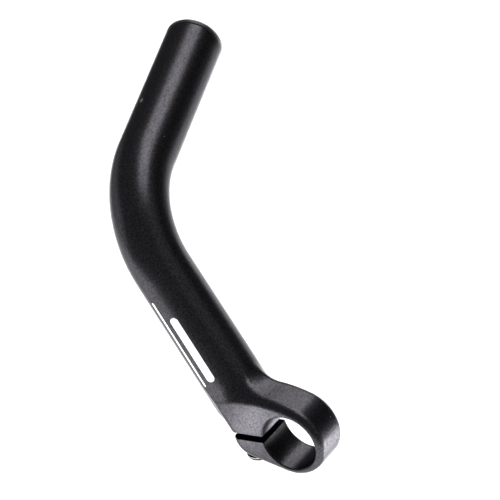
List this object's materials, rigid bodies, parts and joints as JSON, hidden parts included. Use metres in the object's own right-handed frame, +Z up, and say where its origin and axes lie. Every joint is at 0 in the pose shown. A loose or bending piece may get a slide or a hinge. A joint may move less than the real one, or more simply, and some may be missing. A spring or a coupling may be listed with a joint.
{
  "type": "bar end",
  "caption": "Bent hollow bicycle bar end with a split clamp ring, a pinch bolt and a plug in its tip. It clamps to the end of a straight handlebar for an extra hand position.",
  "frame": {"origin": "centre of the clamp bore, half way along its width", "axes": "+X along the bore, the way the handlebar leaves; +Y along the slit to its mouth; +Z up along the clamp bolt, to the arm's side"},
  "size_m": [0.0964, 0.0958, 0.1391],
  "materials": {
    "anodised_aluminium": "black anodised over a fine bead-blasted surface, satin",
    "plated_steel": "bright zinc plated",
    "black_plastic": "moulded, fine satin"
  },
  "bodies": {
    "root": {"bar_end_body": "anodised_aluminium", "clamp_bolt": "plated_steel", "end_plug": "black_plastic"}
  },
  "joints": []
}
